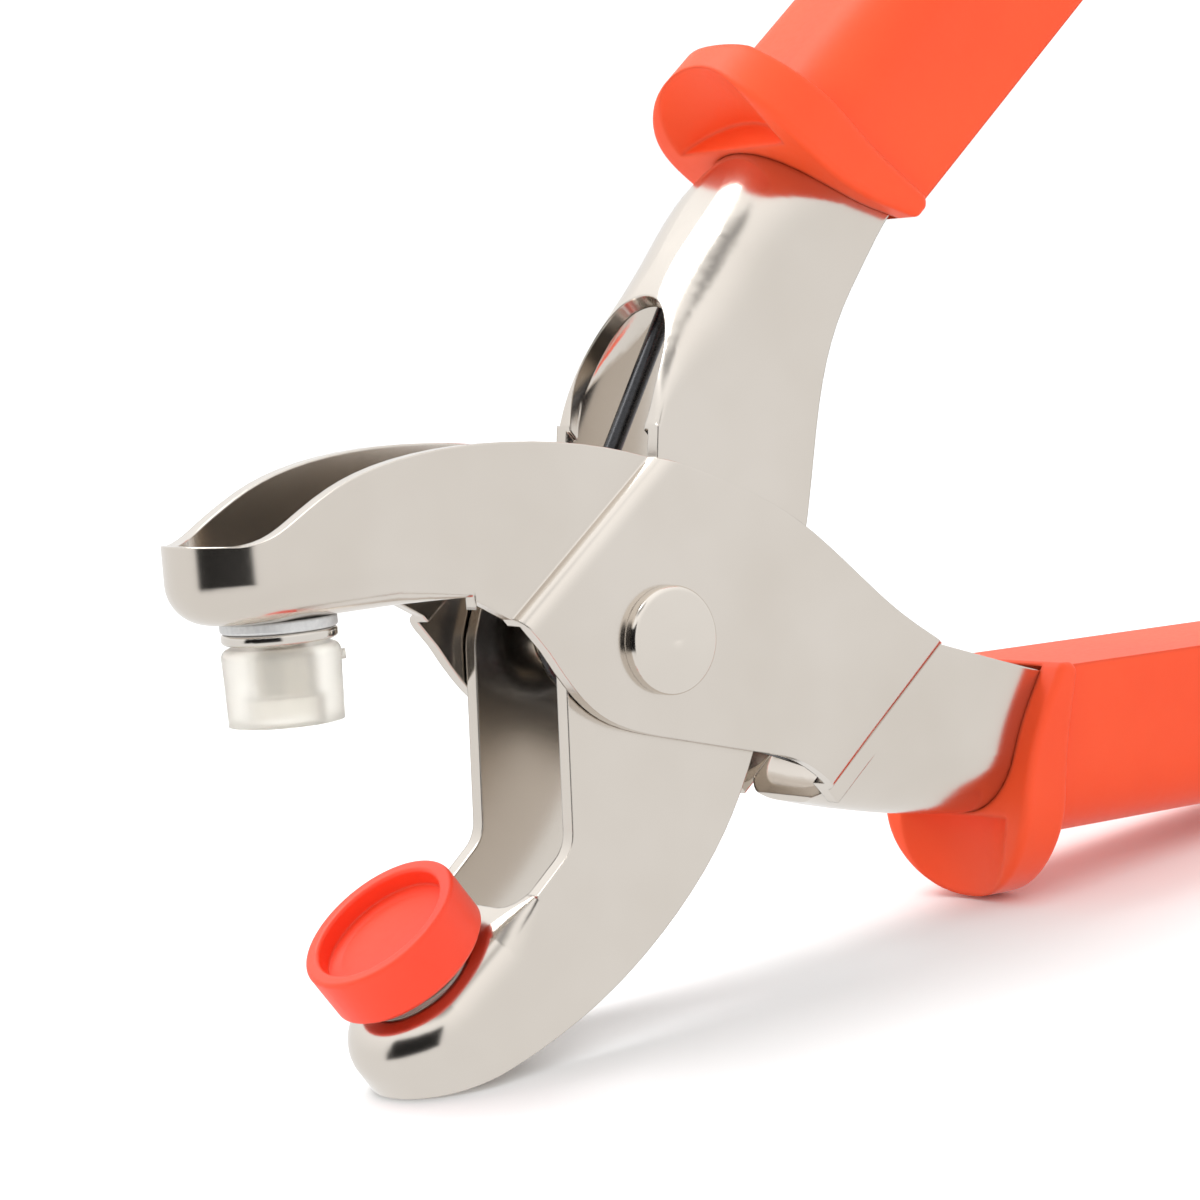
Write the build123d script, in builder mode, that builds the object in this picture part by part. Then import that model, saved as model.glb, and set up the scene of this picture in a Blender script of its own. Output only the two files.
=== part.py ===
"""Rivet setter: spring-loaded plier that presses rivets and snaps between two round dies.

Two channel levers stamped from steel sheet cross at a riveted pivot.  The outer lever carries
the upper jaw and the lower handle, the inner lever the lower jaw and the upper handle.  The tool
stands open, as its spring holds it, on the tip of the lower jaw and the end of the lower grip.
X runs along the tool with the jaws at -X, Y along the pivot, Z up, and the origin is the middle
of the tool's footprint.
"""

import os
from math import cos, radians, sin

from build123d import *

os.makedirs("parts", exist_ok=True)

# ---------------------------------------------------------------- driving dimensions (mm, degrees)
SHEET = 1.6                 # steel sheet of both levers
HALF_WIDTH = 8.2            # half of the outer width of jaws and handles
JAW_BEND = 4.0              # outer bend radius between a jaw's web and walls
UPPER_FADE = 7.5            # length over which the upper jaw's bends tighten towards its cheeks
LOWER_FADE = 5.4            # the same for the lower jaw
HANDLE_BEND = 6.5           # outer bend radius of a handle, its back nearly round
EDGE_BEND = 0.7             # bend radius left where a jaw or handle runs into flat cheeks
OVERLAP = 0.4               # how far jaws and handles run on into the cheeks they join
CHEEK_GAP = 0.3             # side play between the nested cheeks
RUNNING_FIT = 0.05          # radial clearance of everything that turns on a pin
SEAT_FIT = 0.02             # radial clearance of parts that are clamped or pressed home

STANCE = 8.74               # forward lean of the tool when it stands on jaw tip and grip
PIVOT_X = -33.25            # pivot centre, measured from the middle of the footprint
PIVOT_Z = 38.28
SWING = 36.0                # travel of the inner lever from open to closed
JAW_TILT = 4.6              # slope of the upper jaw in the tool's side view
LOWER_GRIP_ANGLE = 3.0      # heading of the lower grip in the side view
UPPER_GRIP_ANGLE = 43.0     # heading of the upper grip in the side view, tool open
CREASE_ANGLE = 42.0         # heading of the two joggles that offset the outer cheeks
JOGGLE_FRONT = -13.7        # distance of the front joggle from the pivot, across the crease
JOGGLE_REAR = 27.2          # distance of the rear joggle from the pivot, across the crease

DIE_REACH = 38.2            # pivot to die axis along a jaw
NOSE_REACH = 2.4            # die axis to the middle of a jaw's rounded nose
UPPER_WEB = 6.7             # pivot line to the die face of the upper jaw's web
LOWER_WEB = 8.45            # pivot line to the die face of the lower jaw's web
HANDLE_END = 112.0          # pivot to the end of a handle channel, along the grip
HANDLE_INNER = 9.4          # pivot line to the open rim of a handle inside its grip
HANDLE_OUTER = 24.0         # pivot line to the web of a handle inside its grip
JAW_DEPTH = 18.0            # height of a jaw's walls before their rims are trimmed
UPPER_BACK = 16.9           # die axis to where the upper jaw's web ends
LOWER_BACK = 11.1           # the same for the lower jaw
STEP = 0.95                 # how far a joggle's inner corner lies behind its outer one
JOGGLE_RUN = 0.6            # length over which a joggle rises
JOGGLE_R = 2.2              # rounding of the joggles' proud edges
REAR_OVERLAP = 2.0          # distance behind the rear joggle where the handle channel begins
HANDLE_SEAM = 15.0          # pivot to where the inner lever's handle channel begins
WINDOW_START = 18.5         # pivot to where the opening in that handle's web is widest
WINDOW_END = 27.6           # pivot to the top of its arch
JAW_OPENING_R = 3.0         # corners of the opening behind the lower jaw's web

RIVET_R = 2.5
RIVET_HEAD_R = 5.4
RIVET_HEAD = 1.4
RIVET_DOME = 0.25           # how far the middle of the head stands proud of its rim
RIVET_WASHER_R = 4.6
RIVET_WASHER = 0.8
FORMED_R = 4.0              # end of the rivet formed over its washer
FORMED = 1.5
SLEEVE_R = 3.9
WIRE = 1.9                  # spring wire diameter
COIL_R = 5.6                # mean radius of the spring's coil
COIL_TURNS = 2
COIL_PITCH = WIRE + 0.2
LEG = 36.0                  # straight leg length
UPPER_LEG_ANGLE = UPPER_GRIP_ANGLE + 19.7
LOWER_LEG_ANGLE = LOWER_GRIP_ANGLE - 20.7

STEM_R = 2.0                # die post stem and neck
WASHER_R = 5.55
WASHER = 1.1
FLANGE_R = 5.5
FLANGE = 1.1
NECK_TOP = 3.65             # underside of a post's head above the jaw's web
HEAD_R = 2.5
UPPER_HEAD_TOP = 7.0
LOWER_HEAD_TOP = 4.15
LOCK_R = 3.5
LOCK = 0.8                  # lock washer thickness
NUT = 2.4
NUT_FLATS = 7.0
STEM_TAIL = 0.8             # thread showing beyond the nut
DIE_BASE = WASHER + FLANGE + 0.4    # underside of both dies above the jaw's web
CAP_BASE_R = 5.65
CAP_RIM_R = 5.45
CAP_BORE_R = 3.0
CAP_STEP = 7.2              # where the cap's bore widens above the post's head
CAP_CORNER = 0.2            # corner left between the cap's bore and the step at its foot
CAP_TOP = 9.85
CUP_R = 8.4
CUP_RECESS_R = 6.9
CUP_FLOOR = 4.6
CUP_TOP = 7.0
CUP_BASE = 1.3              # lower edge of the cup's skirt, round the post's flange
SKIRT_GAP = 0.4             # room between skirt and flange

GRIP_HALF_WIDTH = 10.3
GRIP_INNER = 8.2            # pivot line to the inner side of a grip
GRIP_OUTER = 27.0           # pivot line to the outer side of a grip
GRIP_END = 116.0
GRIP_OUTER_R = 7.0          # corners of a grip's section on its outer side
GRIP_INNER_R = 2.2          # and on its inner side
GRIP_END_R = 2.0
GRIP_FIT = 0.04             # a grip's room round its handle
GUARD_HALF_WIDTH = 11.2     # finger guard
GUARD_OUTER_R = 11.0
GUARD_INNER_R = 2.5
GUARD_INNER = 7.8
GUARD_OUTER = 33.2
GUARD_EDGE_R = 0.7
SCOOP_R = 11.5              # hollow across a guard's front
SCOOP_PLACE = 38.5          # pivot to the axis of that hollow, along the handle
SCOOP_START = 22.5          # and where it starts, just inside the handle's web
SCOOP_LEAN = 0.17
SLEEVE_START = 46.0         # pivot to where the plain sleeve leaves its guard

CHANNEL_INNER = HALF_WIDTH - SHEET
CHEEK_INNER = HALF_WIDTH + CHEEK_GAP
CHEEK_OUTER = CHEEK_INNER + SHEET


# ---------------------------------------------------------------- places
def towards(angle):
    """World direction of an angle in the tool's own side view."""
    return Vector(cos(radians(angle - STANCE)), 0, sin(radians(angle - STANCE)))


def frame_at(origin, x_angle, z_dir):
    """Plane at a world point whose x axis has an angle in the side view."""
    return Plane(origin=origin, x_dir=towards(x_angle), z_dir=z_dir)


pivot = Vector(PIVOT_X, 0, PIVOT_Z)
side = frame_at(pivot, 0, (0, -1, 0))
lower_handle = frame_at(pivot, LOWER_GRIP_ANGLE, (0, 1, 0))
upper_handle = frame_at(pivot, UPPER_GRIP_ANGLE, (0, -1, 0))
crease = frame_at(pivot, CREASE_ANGLE - 90, towards(CREASE_ANGLE))
pin = Plane(origin=pivot, x_dir=(1, 0, 0), z_dir=(0, -1, 0))

UPPER_HEADING = 180 + JAW_TILT
LOWER_HEADING = UPPER_HEADING + SWING
upper_foot = pivot + towards(UPPER_HEADING) * DIE_REACH - towards(UPPER_HEADING + 90) * UPPER_WEB
lower_foot = pivot + towards(LOWER_HEADING) * DIE_REACH - towards(LOWER_HEADING - 90) * LOWER_WEB
upper_die = frame_at(upper_foot, UPPER_HEADING, towards(UPPER_HEADING + 90))
lower_die = frame_at(lower_foot, LOWER_HEADING, towards(LOWER_HEADING - 90))


def save(part, name):
    """Label a finished piece and write it as its own file."""
    part.label = name
    export_step(part, f"parts/{name}.step")
    box = part.bounding_box()
    print(f"{name:18s} solids {len(part.solids())} volume {part.volume:9.2f} "
          f"x {box.min.X:7.2f} {box.max.X:7.2f} z {box.min.Z:7.2f} {box.max.Z:7.2f}")


# ---------------------------------------------------------------- sheet-metal building blocks
def section(plane, top, bottom, half_width, radius):
    """Cross-section of a channel: a rectangle whose two top corners are rounded."""
    with BuildSketch(plane) as outline:
        with Locations((0, (top + bottom) / 2)):
            Rectangle(2 * half_width, top - bottom)
        fillet(outline.vertices().group_by(Axis.Y)[-1], radius)
    return outline.sketch.face()


def jaw_block(die, back, fade, inset):
    """Round-nosed block of a jaw: its bends tighten towards the back, where it meets the cheeks."""
    half_width = HALF_WIDTH - inset
    radius = JAW_BEND - inset
    edge_radius = max(EDGE_BEND - inset, 0.2)
    start = back - fade
    with BuildPart() as block:
        with BuildSketch(die.offset(-inset)):
            with Locations((NOSE_REACH, 0)):
                Circle(half_width)
            with Locations(((NOSE_REACH - start) / 2, 0)):
                Rectangle(NOSE_REACH + start, 2 * half_width)
            with Locations((-start - half_width, 0)):
                Rectangle(2 * half_width, 2 * half_width, mode=Mode.SUBTRACT)
        extrude(amount=-JAW_DEPTH)
        web = block.faces().sort_by(Axis(die.origin, die.z_dir))[-1]
        fillet(web.edges().sort_by(Axis(die.origin, die.x_dir))[1:], radius)
        sections = []
        for share in (0, 0.35, 0.7, 1):
            place = Plane(origin=die.origin - die.x_dir * (start + share * fade),
                          x_dir=die.y_dir * -1, z_dir=die.x_dir * -1)
            bend = radius + (edge_radius - radius) * share ** 1.4
            sections.append(section(place, -inset, -inset - JAW_DEPTH, half_width, bend))
        loft(sections)
        extrude(sections[-1], amount=OVERLAP)
    return block.part


def jaw_channel(die, back, fade):
    """Round-nosed channel, its web on the die side, open on the far side and at the back."""
    with BuildPart() as channel:
        add(jaw_block(die, back, fade, 0))
        add(jaw_block(die, back, fade, SHEET), mode=Mode.SUBTRACT)
    return channel.part


def handle_block(handle, bends, rim, grow):
    """Block along a handle: (place along it, web height, bend radius) stations, then straight."""
    half_width = HALF_WIDTH + grow
    with BuildPart() as block:
        sections = []
        for u, top, radius in bends:
            place = Plane(origin=handle.origin + handle.x_dir * u, x_dir=handle.z_dir * -1,
                          z_dir=handle.x_dir)
            sections.append(section(place, top + grow, rim, half_width, max(radius + grow, 0.2)))
        loft(sections)
        extrude(sections[0], amount=-OVERLAP)
        extrude(sections[-1], amount=HANDLE_END + abs(grow) - u)
    return block.part


def handle_channel(handle, bends):
    """Handle channel, open towards the other handle and at both ends."""
    with BuildPart() as channel:
        add(handle_block(handle, bends, -12, 0))
        add(handle_block(handle, bends, -13, -SHEET), mode=Mode.SUBTRACT)
    return channel.part


# ---------------------------------------------------------------- outer lever
upper_seam = Plane(origin=upper_foot - upper_die.x_dir * UPPER_BACK, x_dir=(0, 1, 0),
                   z_dir=upper_die.x_dir)
rear_seam = Plane(origin=pivot + crease.x_dir * (JOGGLE_REAR + REAR_OVERLAP), x_dir=(0, 1, 0),
                  z_dir=crease.x_dir)

with BuildPart() as outer_cheeks:
    with BuildSketch(crease):
        with BuildLine():
            Polyline((-60, HALF_WIDTH), (JOGGLE_FRONT, HALF_WIDTH),
                     (JOGGLE_FRONT + JOGGLE_RUN, CHEEK_OUTER),
                     (JOGGLE_REAR - JOGGLE_RUN, CHEEK_OUTER),
                     (JOGGLE_REAR, HALF_WIDTH), (60, HALF_WIDTH), (60, CHANNEL_INNER),
                     (JOGGLE_REAR - STEP, CHANNEL_INNER), (JOGGLE_REAR - STEP - 0.1, CHEEK_INNER),
                     (JOGGLE_FRONT + STEP + 0.1, CHEEK_INNER),
                     (JOGGLE_FRONT + STEP, CHANNEL_INNER), (-60, CHANNEL_INNER),
                     (-60, HALF_WIDTH))
        band = make_face()
        fillet(band.vertices().filter_by(lambda v: abs(v.Y - CHEEK_OUTER) < 0.01), JOGGLE_R)
    extrude(amount=70, both=True)
    mirror(about=Plane.XZ)
    split(bisect_by=upper_seam, keep=Keep.BOTTOM)
    split(bisect_by=rear_seam, keep=Keep.BOTTOM)

LOWER_BENDS = [(18, 17.9, HANDLE_BEND), (30, 21.3, HANDLE_BEND), (42, 23.2, HANDLE_BEND),
               (54, HANDLE_OUTER, HANDLE_BEND)]
UPPER_BENDS = [(HANDLE_SEAM, 14.9, EDGE_BEND), (19, 17.5, 2.0), (23, 19.5, 4.2), (28, 21.0, 6.2),
               (34, 22.1, HANDLE_BEND), (42, 23.1, HANDLE_BEND),
               (54, HANDLE_OUTER, HANDLE_BEND)]

with BuildPart() as rear_channel:
    add(handle_channel(lower_handle, LOWER_BENDS))
    split(bisect_by=rear_seam.offset(-OVERLAP), keep=Keep.TOP)

upper_jaw_shell = jaw_channel(upper_die, UPPER_BACK, UPPER_FADE)

with BuildPart() as outer_lever:
    add(upper_jaw_shell)
    add(outer_cheeks.part)
    add(rear_channel.part)
    # side outline: nose, jaw rim, cheek, handle rim, then back under the lever to the throat
    with BuildSketch(side):
        with BuildLine():
            rim = Spline((-46.6, 10.5), (-42.3, 12.4), (-37.1, 15.7), (-30, 18.2), (-18, 19.6),
                         (-1, 18.0), (12, 13.8), (24, 6.5), tangents=[(1, 0.1), (1, -0.76)])
            neck = Spline(rim @ 1, (30.5, 1.7), (37, -2.0), tangents=[(1, -0.76), (1, -0.52)])
            shank = Spline(neck @ 1, (50, -5.2), (58.4, -6.35), tangents=[(1, -0.25), (1, 0.05)])
            Polyline(shank @ 1, (125, -2.86), (125, -40), (29, -40), (24.5, -19))
            Spline((24.5, -19), (20, -14.6), (15, -12.4), tangents=[(-0.7, 1), (-1, 0.2)])
            belly = Spline((15, -12.4), (0, -9.6), (-8.5, -6.8), (-14.4, -0.6),
                           tangents=[(-1, 0.2), (-0.75, 1)])
            Polyline(belly @ 1, (-17.4, 2.6), (-21.6, 4.6), (-22, 0), (-60, -5), (-60, 10.5),
                     rim @ 0)
        make_face()
    extrude(amount=30, both=True, mode=Mode.INTERSECT)
    with BuildSketch(pin):
        Circle(RIVET_R + SEAT_FIT)
    extrude(amount=30, both=True, mode=Mode.SUBTRACT)
    with BuildSketch(upper_die):
        Circle(STEM_R + SEAT_FIT)
    extrude(amount=-8, mode=Mode.SUBTRACT)
save(outer_lever.part, "outer_lever")

# ---------------------------------------------------------------- inner lever
lower_seam = Plane(origin=lower_foot - lower_die.x_dir * LOWER_BACK, x_dir=(0, 1, 0),
                   z_dir=lower_die.x_dir)
handle_seam = Plane(origin=pivot + upper_handle.x_dir * HANDLE_SEAM, x_dir=(0, 1, 0),
                    z_dir=upper_handle.x_dir)

with BuildPart() as inner_outline:
    with BuildSketch(side):
        with BuildLine():
            edge = Spline((-29.3, -43.2), (-22.3, -41.6), (-15.6, -39.1), (-7.2, -34.7),
                          (2.1, -27.3),
                          (9.2, -18.5), (12.6, -11.5), (17, 0), (20, 11), (21.6, 21.2),
                          (25.0, 32.1), (29.0, 38.4), (36.0, 46.4),
                          tangents=[(1, 0.1), (0.731, 0.682)])
            Polyline(edge @ 1, (83.9, 91.1), (30, 125), (-29.6, 54.4), (0.81, 21.13))
            FilletPolyline((0.81, 21.13), (0.6, 17.3), (-8.6, 9.0), (-11.2, 0), (-10.6, -19.8),
                           (-15.0, -24.0), radius=[1.5, 6, 6, 3.5])
            Polyline((-15.0, -24.0), (-40, -25), (-50, -50), (-34, -49), edge @ 0)
        make_face()
    extrude(amount=30, both=True)

with BuildPart() as inner_cheeks:
    add(inner_outline.part)
    split(bisect_by=lower_seam, keep=Keep.BOTTOM)
    split(bisect_by=handle_seam, keep=Keep.BOTTOM)
    with BuildSketch(side):
        Rectangle(200, 200)
    extrude(amount=HALF_WIDTH, both=True, mode=Mode.INTERSECT)
    with BuildSketch(side):
        Rectangle(200, 200)
    extrude(amount=CHANNEL_INNER, both=True, mode=Mode.SUBTRACT)

front_channel = handle_channel(upper_handle, UPPER_BENDS)
lower_jaw_shell = jaw_channel(lower_die, LOWER_BACK, LOWER_FADE)

with BuildPart() as inner_lever:
    add(lower_jaw_shell)
    add(inner_cheeks.part)
    add(front_channel)
    add(inner_outline.part, mode=Mode.INTERSECT)
    # opening where the handle's web starts, its end arched
    with BuildSketch(Plane(origin=pivot + upper_handle.x_dir * WINDOW_START,
                           x_dir=upper_handle.x_dir, z_dir=upper_handle.y_dir)):
        Ellipse(WINDOW_END - WINDOW_START, CHANNEL_INNER)
    extrude(amount=40, mode=Mode.SUBTRACT)
    # opening behind the jaw's web, its corners rounded
    with BuildSketch(lower_die):
        with Locations((-LOWER_BACK - 5 + 2, 0)):
            RectangleRounded(10, 2 * CHANNEL_INNER, JAW_OPENING_R)
    extrude(amount=-SHEET - 0.5, mode=Mode.SUBTRACT)
    with BuildSketch(pin):
        Circle(RIVET_R + RUNNING_FIT)
    extrude(amount=30, both=True, mode=Mode.SUBTRACT)
    with BuildSketch(lower_die):
        Circle(STEM_R + SEAT_FIT)
    extrude(amount=-8, mode=Mode.SUBTRACT)
save(inner_lever.part, "inner_lever")

# ---------------------------------------------------------------- pivot
meridian = Plane(origin=pivot, x_dir=(1, 0, 0), z_dir=(0, 0, 1))
pivot_axis = Axis(pivot, (0, 1, 0))
near = -CHEEK_OUTER
far = CHEEK_OUTER + RIVET_WASHER
head_face = near - RIVET_HEAD

with BuildPart() as pivot_rivet:
    with BuildSketch(meridian):
        with BuildLine():
            TangentArc((0, head_face - RIVET_DOME), (RIVET_HEAD_R - 0.7, head_face),
                       tangent=(1, 0))
            ThreePointArc((RIVET_HEAD_R - 0.7, head_face), (RIVET_HEAD_R - 0.2, head_face + 0.2),
                          (RIVET_HEAD_R, head_face + 0.7))
            Polyline((RIVET_HEAD_R, head_face + 0.7), (RIVET_HEAD_R, near), (RIVET_R, near),
                     (RIVET_R, far), (FORMED_R, far), (FORMED_R, far + 0.3))
            TangentArc((0, far + FORMED), (FORMED_R, far + 0.3), tangent=(1, 0))
            Line((0, far + FORMED), (0, head_face - RIVET_DOME))
        make_face()
    revolve(axis=pivot_axis)
save(pivot_rivet.part, "pivot_rivet")

with BuildPart() as rivet_washer:
    with BuildSketch(Plane(origin=pivot + Vector(0, CHEEK_OUTER, 0), z_dir=(0, 1, 0))):
        Circle(RIVET_WASHER_R)
        Circle(RIVET_R + SEAT_FIT, mode=Mode.SUBTRACT)
    extrude(amount=RIVET_WASHER)
    far_edges = rivet_washer.edges().group_by(Axis.Y)[-1]
    chamfer(far_edges.sort_by(SortBy.RADIUS)[-1], 0.2)
save(rivet_washer.part, "rivet_washer")

with BuildPart() as spacer_sleeve:
    with BuildSketch(pin):
        Circle(SLEEVE_R)
        Circle(RIVET_R + RUNNING_FIT, mode=Mode.SUBTRACT)
    extrude(amount=CHANNEL_INNER - 0.1, both=True)
save(spacer_sleeve.part, "spacer_sleeve")

# ---------------------------------------------------------------- return spring
COIL_SWEEP = 360 * COIL_TURNS + (LOWER_LEG_ANGLE - UPPER_LEG_ANGLE) % 360 - 180
COIL_LENGTH = COIL_PITCH * COIL_SWEEP / 360

coil_base = Plane(origin=pivot - Vector(0, COIL_LENGTH / 2, 0),
                  x_dir=towards(LOWER_LEG_ANGLE - 90), z_dir=(0, 1, 0))
coil = coil_base * Helix(COIL_PITCH, COIL_LENGTH, COIL_R)
lower_leg = Line(coil @ 0 - (coil % 0) * LEG, coil @ 0)
upper_leg = Line(coil @ 1, coil @ 1 + (coil % 1) * LEG)

with BuildPart() as return_spring:
    with BuildLine():
        add(lower_leg)
        add(coil)
        add(upper_leg)
    with BuildSketch(Plane(origin=lower_leg @ 0, z_dir=lower_leg % 0)):
        Circle(WIRE / 2)
    sweep()
save(return_spring.part, "return_spring")

# ---------------------------------------------------------------- dies
def die_section(die):
    """Half-plane through a die's axis, x outwards from the axis and y towards the other die."""
    return Plane(origin=die.origin, x_dir=die.x_dir, z_dir=die.y_dir * -1)


def die_post(die, head_top):
    """Turned post: threaded stem, flange on the washer, neck and a head that holds the die."""
    stem_end = -SHEET - LOCK - NUT - STEM_TAIL
    with BuildPart() as post:
        with BuildSketch(die_section(die)):
            with BuildLine():
                Polyline((0, stem_end), (STEM_R - 0.4, stem_end), (STEM_R, stem_end + 0.4),
                         (STEM_R, WASHER), (FLANGE_R, WASHER), (FLANGE_R, WASHER + FLANGE),
                         (STEM_R, WASHER + FLANGE), (STEM_R, NECK_TOP), (HEAD_R, NECK_TOP),
                         (HEAD_R, head_top), (0, head_top), (0, stem_end))
            profile = make_face()
            rims = profile.vertices().filter_by(lambda v: abs(v.X - FLANGE_R) < 0.01)
            fillet(rims, 0.4)
        revolve(axis=Axis(die.origin, die.z_dir))
    return post.part


def die_washer(die):
    """Flat washer between a jaw's web and the flange of its post, outer edges broken."""
    with BuildPart() as washer:
        with BuildSketch(die):
            Circle(WASHER_R)
            Circle(STEM_R + SEAT_FIT, mode=Mode.SUBTRACT)
        extrude(amount=WASHER)
        fillet(washer.edges().filter_by(GeomType.CIRCLE).group_by(SortBy.RADIUS)[-1], 0.25)
    return washer.part


def lock_washer(die):
    """Split ring under the nut inside the jaw channel."""
    with BuildPart() as washer:
        with BuildSketch(die.offset(-SHEET)):
            Circle(LOCK_R)
            Circle(STEM_R + SEAT_FIT, mode=Mode.SUBTRACT)
            with Locations((3, 0)):
                Rectangle(3, 0.6, rotation=25, mode=Mode.SUBTRACT)
        extrude(amount=-LOCK)
    return washer.part


def nut(die):
    """Hexagon nut that clamps a die post into its jaw, its corners turned off."""
    top = -SHEET - LOCK
    corner = NUT_FLATS / 2 + 0.6
    with BuildPart() as hexagon:
        with BuildSketch(die.offset(top)):
            RegularPolygon(NUT_FLATS / 2, 6, major_radius=False)
        extrude(amount=-NUT)
        with BuildSketch(die_section(die)):
            with BuildLine():
                Polyline((0, top), (corner - 0.7, top), (corner, top - 0.4),
                         (corner, top - NUT + 0.4), (corner - 0.7, top - NUT), (0, top - NUT),
                         (0, top))
            make_face()
        revolve(axis=Axis(die.origin, die.z_dir), mode=Mode.INTERSECT)
        with BuildSketch(die.offset(top)):
            Circle(STEM_R + SEAT_FIT)
        extrude(amount=-NUT, mode=Mode.SUBTRACT)
    return hexagon.part


for name, die, head_top in (("upper", upper_die, UPPER_HEAD_TOP),
                            ("lower", lower_die, LOWER_HEAD_TOP)):
    save(die_post(die, head_top), f"{name}_die_post")
    save(die_washer(die), f"{name}_die_washer")
    save(lock_washer(die), f"{name}_lock_washer")
    save(nut(die), f"{name}_post_nut")

with BuildPart() as clear_cap:
    with BuildSketch(die_section(upper_die)):
        with BuildLine():
            Polyline((STEM_R + RUNNING_FIT, DIE_BASE), (CAP_BASE_R, DIE_BASE), (CAP_RIM_R, CAP_TOP),
                     (CAP_BORE_R + 0.2, CAP_TOP), (CAP_BORE_R, CAP_TOP - 0.2),
                     (CAP_BORE_R, CAP_STEP + CAP_CORNER), (CAP_BORE_R - CAP_CORNER, CAP_STEP),
                     (HEAD_R + RUNNING_FIT, CAP_STEP),
                     (HEAD_R + RUNNING_FIT, NECK_TOP - RUNNING_FIT),
                     (STEM_R + RUNNING_FIT, NECK_TOP - RUNNING_FIT),
                     (STEM_R + RUNNING_FIT, DIE_BASE))
        profile = make_face()
        fillet(profile.vertices().sort_by(Axis.X)[-1], 0.8)
        fillet(profile.vertices().group_by(Axis.Y)[-1].sort_by(Axis.X)[-1], 0.25)
    revolve(axis=Axis(upper_die.origin, upper_die.z_dir))
    # stub left by the moulding gate
    with BuildSketch(Plane(origin=upper_die.origin + upper_die.z_dir * (DIE_BASE + 1.6),
                           x_dir=upper_die.z_dir, z_dir=(0.788, -0.616, 0)).offset(4)):
        Circle(0.5)
    extrude(amount=2)
save(clear_cap.part, "clear_cap")

with BuildPart() as orange_cup:
    with BuildSketch(die_section(lower_die)):
        with BuildLine():
            Polyline((0, CUP_FLOOR), (0, LOWER_HEAD_TOP + 0.1),
                     (HEAD_R + RUNNING_FIT, LOWER_HEAD_TOP + 0.1),
                     (HEAD_R + RUNNING_FIT, NECK_TOP - RUNNING_FIT),
                     (STEM_R + RUNNING_FIT, NECK_TOP - RUNNING_FIT),
                     (STEM_R + RUNNING_FIT, DIE_BASE), (FLANGE_R + SKIRT_GAP, DIE_BASE),
                     (FLANGE_R + SKIRT_GAP, CUP_BASE), (CUP_R - 0.5, CUP_BASE),
                     (CUP_R, CUP_BASE + 0.5), (CUP_R, CUP_TOP), (CUP_RECESS_R, CUP_TOP),
                     (CUP_RECESS_R, CUP_FLOOR + 0.5), (CUP_RECESS_R - 1.3, CUP_FLOOR + 0.25))
            TangentArc((0, CUP_FLOOR), (CUP_RECESS_R - 1.3, CUP_FLOOR + 0.25), tangent=(1, 0))
        profile = make_face()
        fillet(profile.vertices().group_by(Axis.Y)[-1], 0.4)
    revolve(axis=Axis(lower_die.origin, lower_die.z_dir))
save(orange_cup.part, "orange_cup")


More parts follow.
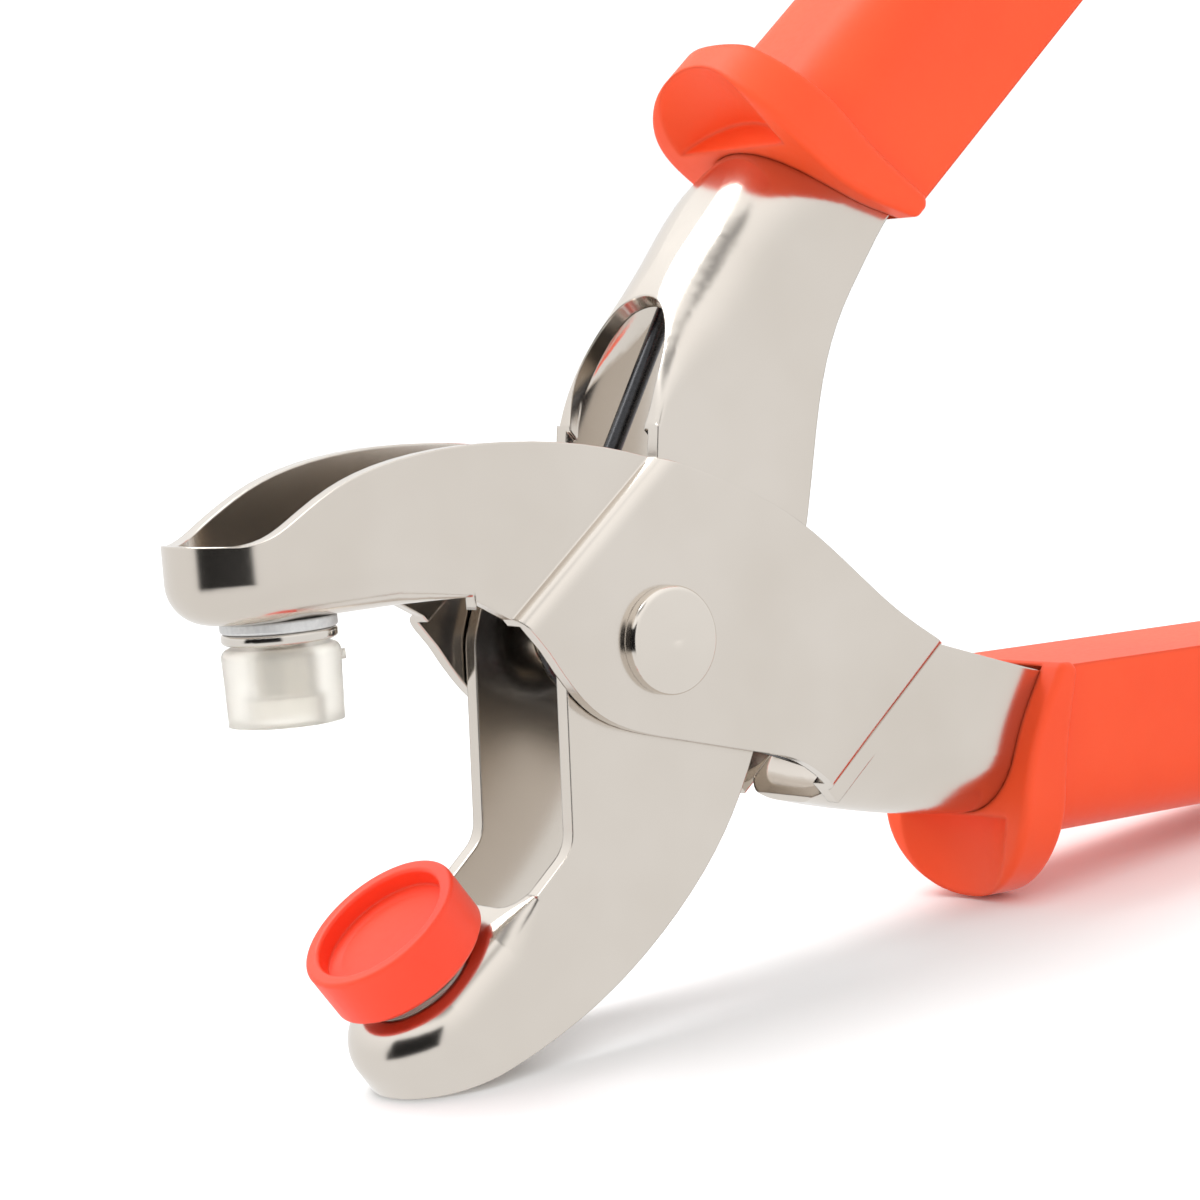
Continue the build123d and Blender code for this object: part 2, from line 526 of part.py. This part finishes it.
# ---------------------------------------------------------------- grips
def grip(handle, bends):
    """Slip-on vinyl grip: round-ended sleeve with a finger guard that leans over the mouth."""
    across = Plane(origin=handle.origin, x_dir=handle.z_dir * -1, z_dir=handle.x_dir)
    with BuildPart() as guard:
        with BuildSketch(handle):
            with BuildLine():
                face = Spline((52.8, 8.2), (50.4, 12.0), (48.1, 16.8), (46.6, 22.5), (46.3, 27.5),
                              (47.4, 32.2), tangents=[(-0.6, 1), (0.4, 1)])
                lobe = ThreePointArc(face @ 1, (50.0, 34.0), (52.6, 31.6))
                back = Spline(lobe @ 1, (52.6, 24.5), (53.9, 15), (55.4, 9.0),
                              tangents=[(-0.3, -1), (0.25, -1)])
                ThreePointArc(back @ 1, (54.7, 7.9), face @ 0)
            make_face()
        extrude(amount=20, both=True)
        with BuildSketch(across.offset(35)):
            with Locations((0, (GUARD_INNER + GUARD_OUTER) / 2)):
                front = Rectangle(2 * GUARD_HALF_WIDTH, GUARD_OUTER - GUARD_INNER)
            fillet(front.vertices().group_by(Axis.Y)[-1], GUARD_OUTER_R)
            fillet(front.vertices().group_by(Axis.Y)[0], GUARD_INNER_R)
        extrude(amount=30, mode=Mode.INTERSECT)
        fillet(guard.edges(), GUARD_EDGE_R)
        # scoop across the front, so that both sides of the guard reach further forward
        scoop = handle.origin + handle.x_dir * SCOOP_PLACE + handle.y_dir * SCOOP_START
        with BuildSketch(Plane(origin=scoop, x_dir=handle.z_dir,
                               z_dir=handle.y_dir - handle.x_dir * SCOOP_LEAN)):
            Circle(SCOOP_R)
        extrude(amount=15, mode=Mode.SUBTRACT)
    with BuildPart() as sleeve:
        with BuildSketch(across.offset(SLEEVE_START)):
            with Locations((0, (GRIP_INNER + GRIP_OUTER) / 2)):
                body = Rectangle(2 * GRIP_HALF_WIDTH, GRIP_OUTER - GRIP_INNER)
            fillet(body.vertices().group_by(Axis.Y)[-1], GRIP_OUTER_R)
            fillet(body.vertices().group_by(Axis.Y)[0], GRIP_INNER_R)
        extrude(amount=GRIP_END - SLEEVE_START)
        fillet(sleeve.faces().sort_by(Axis(handle.origin, handle.x_dir))[-1].edges(), GRIP_END_R)
        with BuildSketch(handle):
            Polygon((40, 5), (54.3, 5), (51.0, 29), (40, 29), align=None)
        extrude(amount=20, both=True, mode=Mode.SUBTRACT)
        add(guard.part)
        # room for the handle channel, wider at the mouth where its rim still slopes
        add(handle_block(handle, bends, HANDLE_INNER - GRIP_FIT, GRIP_FIT), mode=Mode.SUBTRACT)
        with BuildSketch(handle):
            Polygon((42, 5), (49, 7.3), (58, HANDLE_INNER - GRIP_FIT), (58, 12), (42, 12),
                    align=None)
        extrude(amount=HALF_WIDTH + GRIP_FIT, both=True, mode=Mode.SUBTRACT)
    return sleeve.part


save(grip(upper_handle, UPPER_BENDS), "upper_grip")
save(grip(lower_handle, LOWER_BENDS), "lower_grip")
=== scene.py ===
"""Rivet setter: materials, spring wire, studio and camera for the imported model."""
from math import cos, pi, radians, sin

import bmesh
import bpy
from mathutils import Matrix, Vector


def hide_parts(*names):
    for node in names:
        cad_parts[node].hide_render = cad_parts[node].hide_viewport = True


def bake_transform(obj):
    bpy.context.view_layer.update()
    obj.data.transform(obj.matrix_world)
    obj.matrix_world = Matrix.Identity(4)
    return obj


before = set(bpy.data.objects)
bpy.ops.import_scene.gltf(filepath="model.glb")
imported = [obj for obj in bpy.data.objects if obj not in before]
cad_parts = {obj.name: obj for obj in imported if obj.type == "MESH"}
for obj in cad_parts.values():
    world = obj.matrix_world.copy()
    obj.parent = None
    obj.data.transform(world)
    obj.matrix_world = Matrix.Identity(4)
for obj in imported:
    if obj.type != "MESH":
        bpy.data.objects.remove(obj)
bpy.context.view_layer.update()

MM = 0.001

# ---------------------------------------------------------------- the tool's own side view
STANCE = radians(8.74)      # forward lean of the standing tool
PIVOT = Vector((-33.25, 0, 38.28)) * MM
LEAN = Matrix.Rotation(STANCE, 4, "Y")


def from_side(x, y, z):
    """Place in the row frame of a point given in mm in the tool's side view, pivot at 0, 0."""
    return PIVOT + LEAN @ (Vector((x, y, z)) * MM)


# ---------------------------------------------------------------- node helpers
def material(name):
    """New node material: returns it, its tree and its principled shader."""
    made = bpy.data.materials.new(name)
    made.use_nodes = True
    return made, made.node_tree, made.node_tree.nodes["Principled BSDF"]


def node(tree, kind, inputs=None, **settings):
    """Adds a shader node, sets its settings, and sets or links its inputs."""
    made = tree.nodes.new("ShaderNode" + kind)
    for key, value in settings.items():
        setattr(made, key, value)
    for key, value in (inputs or {}).items():
        if isinstance(value, bpy.types.NodeSocket):
            tree.links.new(value, made.inputs[key])
        else:
            made.inputs[key].default_value = value
    return made


def maths(tree, operation, first, second=0.0, third=0.0):
    """One math node's result."""
    return node(tree, "Math", {0: first, 1: second, 2: third}, operation=operation).outputs[0]


def smooth(tree, value, low, high):
    """0 below low, 1 above high, smooth between."""
    made = node(tree, "MapRange", {"Value": value, "From Min": low, "From Max": high},
                interpolation_type="SMOOTHSTEP")
    return made.outputs["Result"]


def noise(tree, coords, scale, detail=3.0, roughness=0.5):
    """Noise factor at a scale per metre."""
    made = node(tree, "TexNoise", {"Vector": coords, "Scale": scale, "Detail": detail,
                                   "Roughness": roughness})
    return made.outputs["Fac"]


def ramp(tree, value, stops):
    """Colour ramp of (position, colour) stops."""
    made = node(tree, "ValToRGB", {"Fac": value})
    elements = made.color_ramp.elements
    while len(elements) < len(stops):
        elements.new(0.5)
    for element, (position, colour) in zip(elements, stops):
        element.position = position
        element.color = (*colour, 1.0)
    return made.outputs["Color"]


def softened(tree, radius):
    """Normal that rounds off the look of edges, radius in metres."""
    return node(tree, "Bevel", {"Radius": radius}, samples=8).outputs["Normal"]


def bump(tree, height, distance, strength=1.0, normal=None):
    """Bump normal from a height field, distance in metres."""
    inputs = {"Height": height, "Distance": distance, "Strength": strength}
    if normal:
        inputs["Normal"] = normal
    return node(tree, "Bump", inputs).outputs["Normal"]


# ---------------------------------------------------------------- materials
PLATED_EDGE = 0.0003        # how far plated edges look rounded off, metres


def plated_steel(name, low, high, rough, wave=0.00002):
    """Nickel-plated sheet: near-mirror, slightly wavy, satin grain, softened edges."""
    made, tree, shader = material(name)
    coords = node(tree, "TexCoord").outputs["Object"]
    tint = noise(tree, coords, 55, 3)
    tree.links.new(ramp(tree, tint, [(0.3, low), (0.7, high)]), shader.inputs["Base Color"])
    grain = noise(tree, coords, 2600, 3, 0.6)
    patch = noise(tree, coords, 160, 3)
    roughness = maths(tree, "MULTIPLY_ADD", grain, 0.05, rough - 0.045)
    roughness = maths(tree, "ADD", roughness, maths(tree, "MULTIPLY", patch, 0.04))
    tree.links.new(roughness, shader.inputs["Roughness"])
    rolled = noise(tree, coords, 130, 2, 0.4)
    normal = bump(tree, rolled, wave, 1.0, softened(tree, PLATED_EDGE))
    normal = bump(tree, grain, 0.0000006, 0.6, normal)
    tree.links.new(normal, shader.inputs["Normal"])
    shader.inputs["Metallic"].default_value = 1.0
    return made


def washer_steel():
    """Dull grey zinc washer with fine tumbled grain."""
    made, tree, shader = material("washer_zinc")
    coords = node(tree, "TexCoord").outputs["Object"]
    grain = noise(tree, coords, 2200, 4, 0.65)
    colour = ramp(tree, grain, [(0.3, (0.56, 0.56, 0.56)), (0.7, (0.68, 0.68, 0.67))])
    tree.links.new(colour, shader.inputs["Base Color"])
    tree.links.new(maths(tree, "MULTIPLY_ADD", grain, 0.2, 0.4), shader.inputs["Roughness"])
    tree.links.new(bump(tree, grain, 0.000004), shader.inputs["Normal"])
    shader.inputs["Metallic"].default_value = 0.4
    return made


def spring_steel():
    """Blue-black oiled spring wire with fine drawing lines."""
    made, tree, shader = material("spring_wire")
    coords = node(tree, "TexCoord").outputs["Object"]
    grain = noise(tree, coords, 1800, 4, 0.6)
    colour = ramp(tree, grain, [(0.3, (0.012, 0.012, 0.014)), (0.75, (0.035, 0.036, 0.042))])
    tree.links.new(colour, shader.inputs["Base Color"])
    tree.links.new(maths(tree, "MULTIPLY_ADD", grain, 0.15, 0.2), shader.inputs["Roughness"])
    tree.links.new(bump(tree, grain, 0.0000008), shader.inputs["Normal"])
    shader.inputs["Metallic"].default_value = 0.6
    shader.inputs["Coat Weight"].default_value = 0.4
    shader.inputs["Coat Roughness"].default_value = 0.2
    return made


def moulded(name, low, high, rough, scatter, radius, grain_size, grain_depth, edge):
    """Moulded plastic or vinyl: slightly mottled colour, fine skin texture, soft scattering."""
    made, tree, shader = material(name)
    coords = node(tree, "TexCoord").outputs["Object"]
    mottle = noise(tree, coords, 70, 3)
    tree.links.new(ramp(tree, mottle, [(0.3, low), (0.7, high)]), shader.inputs["Base Color"])
    grain = noise(tree, coords, grain_size, 3, 0.6)
    tree.links.new(maths(tree, "MULTIPLY_ADD", grain, 0.12, rough - 0.06),
                   shader.inputs["Roughness"])
    tree.links.new(bump(tree, grain, grain_depth, 1.0, softened(tree, edge)),
                   shader.inputs["Normal"])
    shader.inputs["Subsurface Weight"].default_value = scatter
    shader.inputs["Subsurface Radius"].default_value = radius
    shader.inputs["Subsurface Scale"].default_value = 0.001
    shader.inputs["Specular IOR Level"].default_value = 0.35
    return made


def clear_plastic():
    """Frosted translucent moulding, slightly clouded, with satin walls and rounded edges."""
    made, tree, shader = material("frosted_plastic")
    coords = node(tree, "TexCoord").outputs["Object"]
    cloud = noise(tree, coords, 200, 2)
    tree.links.new(ramp(tree, cloud, [(0.3, (0.88, 0.855, 0.79)), (0.7, (0.91, 0.89, 0.835))]),
                   shader.inputs["Base Color"])
    grain = noise(tree, coords, 400, 2, 0.5)
    tree.links.new(maths(tree, "MULTIPLY_ADD", grain, 0.06, 0.34), shader.inputs["Roughness"])
    tree.links.new(bump(tree, grain, 0.0000006, 1.0, softened(tree, 0.0004)),
                   shader.inputs["Normal"])
    shader.inputs["Transmission Weight"].default_value = 0.72
    shader.inputs["IOR"].default_value = 1.33
    return made


def pale_floor():
    """Matt, nearly white floor with a faint mottle."""
    made, tree, shader = material("pale_floor")
    coords = node(tree, "TexCoord").outputs["Object"]
    colour = ramp(tree, noise(tree, coords, 30), [(0.3, (0.90, 0.90, 0.90)),
                                                  (0.7, (0.92, 0.92, 0.92))])
    tree.links.new(colour, shader.inputs["Base Color"])
    shader.inputs["Roughness"].default_value = 0.8
    return made


NICKEL_LOW = (0.645, 0.592, 0.532)
NICKEL_HIGH = (0.695, 0.645, 0.588)
sheet = plated_steel("nickel_sheet", NICKEL_LOW, NICKEL_HIGH, 0.18)
turned = plated_steel("nickel_turned", (0.64, 0.60, 0.55), (0.70, 0.66, 0.61), 0.14, 0.000004)
rivet = plated_steel("nickel_rivet", (0.66, 0.61, 0.55), (0.72, 0.67, 0.61), 0.13, 0.00001)
zinc = washer_steel()
wire = spring_steel()
vinyl = moulded("grip_vinyl", (0.86, 0.070, 0.012), (0.90, 0.082, 0.016), 0.50, 0.12,
                (1.2, 0.3, 0.15), 1400, 0.000006, 0.0009)
cup_plastic = moulded("cup_plastic", (0.86, 0.054, 0.018), (0.90, 0.063, 0.023), 0.40, 0.15,
                      (1.2, 0.3, 0.15), 1100, 0.000004, 0.0004)
frosted = clear_plastic()

FINISH = {
    "outer_lever": sheet, "inner_lever": sheet, "pivot_rivet": rivet, "rivet_washer": zinc,
    "spacer_sleeve": turned, "return_spring": wire, "upper_die_post": turned,
    "lower_die_post": turned, "upper_die_washer": zinc, "lower_die_washer": zinc,
    "upper_lock_washer": zinc, "lower_lock_washer": zinc, "upper_post_nut": turned,
    "lower_post_nut": turned, "clear_cap": frosted, "orange_cup": cup_plastic,
    "upper_grip": vinyl, "lower_grip": vinyl,
}
for name, finish in FINISH.items():
    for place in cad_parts[name].material_slots:
        place.material = finish


# ---------------------------------------------------------------- return spring
WIRE_R = 0.95
COIL_R = 5.6
LEG = 35.9
COIL_PITCH = 2.1
UPPER_LEG, LOWER_LEG = radians(62.7), radians(-17.7)
TURNS = 2 + ((LOWER_LEG - UPPER_LEG) % (2 * pi) - pi) / (2 * pi)
COIL_RISE = COIL_PITCH * TURNS
LEG_STEPS, COIL_STEPS = 30, 160


def spring_path():
    """Centre line of the spring in the side view: lower leg, coil, upper leg, in mm."""
    start = LOWER_LEG - pi / 2
    points = []
    for step in range(LEG_STEPS + 1):
        reach = LEG * (1 - step / LEG_STEPS)
        points.append((COIL_R * cos(start) + reach * cos(LOWER_LEG), -COIL_RISE / 2,
                       COIL_R * sin(start) + reach * sin(LOWER_LEG)))
    for step in range(1, COIL_STEPS + 1):
        share = step / COIL_STEPS
        angle = start - share * TURNS * 2 * pi
        points.append((COIL_R * cos(angle), COIL_RISE * (share - 0.5), COIL_R * sin(angle)))
    end = start - TURNS * 2 * pi
    for step in range(1, LEG_STEPS + 1):
        reach = LEG * step / LEG_STEPS
        points.append((COIL_R * cos(end) + reach * cos(UPPER_LEG), COIL_RISE / 2,
                       COIL_R * sin(end) + reach * sin(UPPER_LEG)))
    return [from_side(*point) for point in points]


def wire_mesh(name, path, radius, sides=20, taper=0.3):
    """Round wire along a path, its ends slightly rounded off."""
    bm = bmesh.new()
    rings = []
    across = None
    last = len(path) - 1
    for index, centre in enumerate(path):
        ahead = (path[min(index + 1, last)] - path[max(index - 1, 0)]).normalized()
        if across is None:
            across = ahead.orthogonal().normalized()
        across = (across - ahead * across.dot(ahead)).normalized()
        other = ahead.cross(across)
        rings.append([bm.verts.new(centre + (across * cos(2 * pi * k / sides)
                                             + other * sin(2 * pi * k / sides)) * radius)
                      for k in range(sides)])
    for ring, following in zip(rings, rings[1:]):
        for k in range(sides):
            bm.faces.new((ring[k], ring[(k + 1) % sides], following[(k + 1) % sides],
                          following[k]))
    for ring, sign in ((rings[0], -1), (rings[-1], 1)):
        end = path[0] if sign < 0 else path[-1]
        inner = [bm.verts.new(end + (vert.co - end) * (1 - taper)) for vert in ring]
        for k in range(sides):
            bm.faces.new((ring[k], ring[(k + 1) % sides], inner[(k + 1) % sides], inner[k]))
        bm.faces.new(inner)
    bmesh.ops.recalc_face_normals(bm, faces=bm.faces)
    for face in bm.faces:
        face.smooth = len(face.verts) == 4
    mesh = bpy.data.meshes.new(name)
    bm.to_mesh(mesh)
    bm.free()
    return mesh


spring_mesh = wire_mesh("spring_wire", spring_path(), WIRE_R * MM)
spring_mesh.materials.append(wire)
spring = bpy.data.objects.new("spring_wire", spring_mesh)
bpy.context.scene.collection.objects.link(spring)
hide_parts("return_spring")
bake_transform(spring)

# ---------------------------------------------------------------- floor
FLOOR_HALF = 6.0
bm = bmesh.new()
bmesh.ops.create_grid(bm, x_segments=8, y_segments=8, size=FLOOR_HALF)
plane = bpy.data.meshes.new("floor")
bm.to_mesh(plane)
bm.free()
floor = bpy.data.objects.new("floor", plane)
bpy.context.scene.collection.objects.link(floor)
plane.materials.append(pale_floor())
floor.visible_glossy = False

# ---------------------------------------------------------------- studio
EVEN_LIGHT = 1.12           # strength seen by the camera and by every surface but mirrors
CEILING_LIFT = 0.35         # how much brighter the mirrored room is overhead
CARD = (-107, -29, -10, 30, 2.5)            # dark card beside the jaws, mirrored by the noses
OVERHEAD_CARD = (-90, -15, 52, 68, 9.0)     # soft card overhead, mirrored by the handle's bend
CARD_DEPTH, OVERHEAD_DEPTH = 0.99, 0.75

studio = bpy.data.worlds.new("studio")
studio.use_nodes = True
bpy.context.scene.world = studio
tree = studio.node_tree
backdrop = tree.nodes["Background"]
backdrop.inputs["Color"].default_value = (1, 1, 1, 1)
way = node(tree, "SeparateXYZ", {0: node(tree, "TexCoord").outputs["Generated"]})
heading = maths(tree, "MULTIPLY", maths(tree, "ARCTAN2", way.outputs[0],
                                        maths(tree, "MULTIPLY", way.outputs[1], -1.0)), 180 / pi)
height = maths(tree, "MULTIPLY", maths(tree, "ARCSINE", way.outputs[2]), 180 / pi)


def patch(low_heading, high_heading, low_height, high_height, blur):
    """Mask of a window of directions, in degrees, heading 0 towards -Y and 90 towards +X."""
    sides = [smooth(tree, heading, low_heading - blur, low_heading + blur),
             smooth(tree, heading, high_heading + blur, high_heading - blur),
             smooth(tree, height, low_height - blur, low_height + blur),
             smooth(tree, height, high_height + blur, high_height - blur)]
    mask = sides[0]
    for side in sides[1:]:
        mask = maths(tree, "MULTIPLY", mask, side)
    return mask


room = maths(tree, "MULTIPLY_ADD", smooth(tree, height, -5, 70), CEILING_LIFT, 1.0)
overhead = maths(tree, "MULTIPLY", patch(*OVERHEAD_CARD), OVERHEAD_DEPTH)
dark = maths(tree, "MAXIMUM", patch(*CARD), overhead)
light = maths(tree, "MULTIPLY", room, maths(tree, "SUBTRACT", 1.0,
                                            maths(tree, "MULTIPLY", dark, CARD_DEPTH)))
mirrored = node(tree, "LightPath").outputs["Is Glossy Ray"]
level = node(tree, "Mix", {0: mirrored, 2: EVEN_LIGHT, 3: light}).outputs[0]
tree.links.new(level, backdrop.inputs["Strength"])


def lamp(name, place, target, size, power):
    """Soft rectangular lamp aimed at a point."""
    data = bpy.data.lights.new(name, "AREA")
    data.shape = "RECTANGLE"
    data.size, data.size_y = size
    data.energy = power
    made = bpy.data.objects.new(name, data)
    bpy.context.scene.collection.objects.link(made)
    made.location = Vector(place)
    made.rotation_mode = "QUATERNION"
    made.rotation_quaternion = (Vector(place) - Vector(target)).to_track_quat("Z", "Y")
    made.visible_camera = False
    return made


lamp("top_lamp", (-0.25, 0.35, 0.9), (0, 0, 0.03), (0.7, 0.5), 6.0)

# ---------------------------------------------------------------- camera
AZIMUTH, ELEVATION, ROLL = radians(-38.0), radians(2.5), radians(-1.0)
DISTANCE = 360 * MM
SENSOR, LENS = 36.0, 108.0
ASIDE = Vector((-0.4, 0, 3.65)) * MM    # aim point from the pivot, across and up the picture
back = Vector((sin(AZIMUTH) * cos(ELEVATION), -cos(AZIMUTH) * cos(ELEVATION), sin(ELEVATION)))
level_right = Vector((cos(AZIMUTH), sin(AZIMUTH), 0))
level_up = back.cross(level_right)
right = cos(ROLL) * level_right + sin(ROLL) * level_up
up = cos(ROLL) * level_up - sin(ROLL) * level_right
turn = Matrix((right, up, back)).transposed().to_4x4()
view = bpy.data.cameras.new("camera")
view.sensor_width = SENSOR
view.lens = LENS
camera = bpy.data.objects.new("camera", view)
bpy.context.scene.collection.objects.link(camera)
stand = back * DISTANCE + right * ASIDE.x + up * ASIDE.z
camera.matrix_world = Matrix.Translation(PIVOT) @ LEAN @ Matrix.Translation(stand) @ turn
bpy.context.scene.camera = camera
bpy.context.scene.view_settings.view_transform = "Standard"
